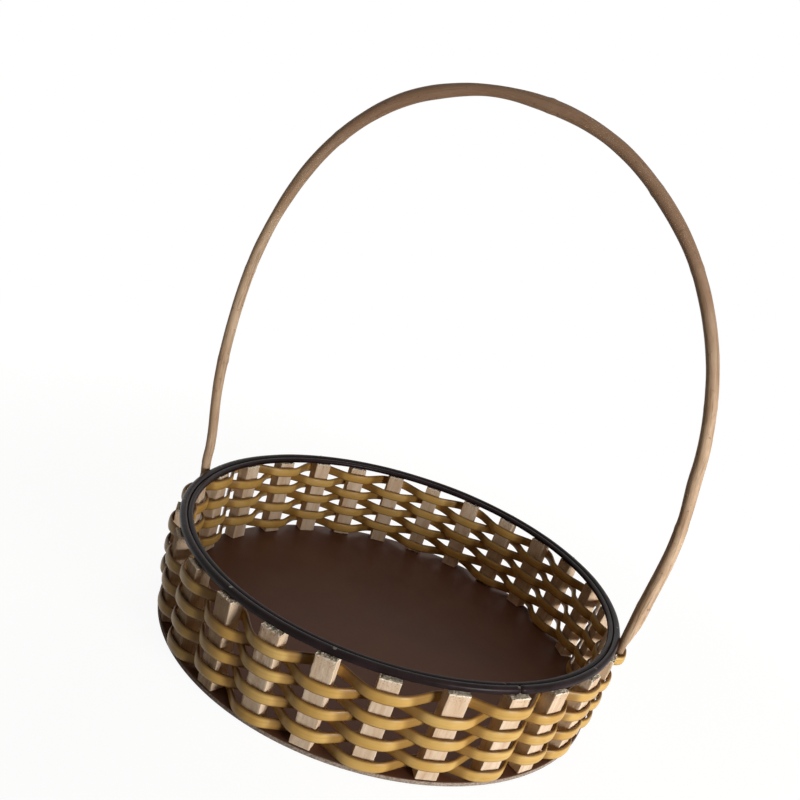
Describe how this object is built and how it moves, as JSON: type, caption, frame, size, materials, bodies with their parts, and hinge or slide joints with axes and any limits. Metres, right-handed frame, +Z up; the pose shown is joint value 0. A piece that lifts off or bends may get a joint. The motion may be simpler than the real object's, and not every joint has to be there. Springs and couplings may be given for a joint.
{
  "type": "breakfast basket",
  "caption": "Shallow round basket for breakfast bread: a thin board, a ring of sawn stakes woven with cane, a dark rim and a tall bent rod handle.",
  "frame": {"origin": "middle of the board's underside, where the basket stands", "axes": "+Z up along the basket's axis; X runs from the thin foot of the handle to the thick one, at +X; the front stake stands at -Y"},
  "size_m": [0.3336, 0.3164, 0.3653],
  "materials": {
    "dark_board": "dark brown satin varnish on a thin fibre board",
    "pine": "raw sawn pine, matte, with rough ends",
    "cane": "honey yellow cane, satin",
    "dark_strand": "near-black brown strand, satin",
    "peeled_wood": "peeled natural rod, lightly polished",
    "steel": "plain bright nail"
  },
  "bodies": {
    "root": {"base_board": "dark_board", "stake_01": "pine", "stake_02": "pine", "stake_03": "pine", "stake_04": "pine", "stake_05": "pine", "stake_06": "pine", "stake_07": "pine", "stake_08": "pine", "stake_09": "pine", "stake_10": "pine", "stake_11": "pine", "stake_12": "pine", "stake_13": "pine", "stake_14": "pine", "stake_15": "pine", "stake_16": "pine", "stake_17": "pine", "stake_18": "pine", "stake_19": "pine", "stake_20": "pine", "stake_21": "pine", "stake_22": "pine", "stake_23": "pine", "stake_24": "pine", "stake_25": "pine", "stake_26": "pine", "stake_27": "pine", "weaver_1": "cane", "weaver_2": "cane", "weaver_3": "cane", "weaver_4": "cane", "weaver_5": "cane", "weaver_6": "cane", "weaver_7": "cane", "rim_inner": "dark_strand", "rim_outer": "dark_strand", "handle_rod": "peeled_wood", "rim_nail_1": "steel", "rim_nail_2": "steel", "rim_nail_3": "steel", "rim_nail_4": "steel", "rim_nail_5": "steel", "rim_nail_6": "steel", "rim_nail_7": "steel", "rim_nail_8": "steel", "rim_nail_9": "steel", "rim_nail_10": "steel", "rim_nail_11": "steel", "leg_nail_left": "steel", "leg_nail_right": "steel"}
  },
  "joints": []
}
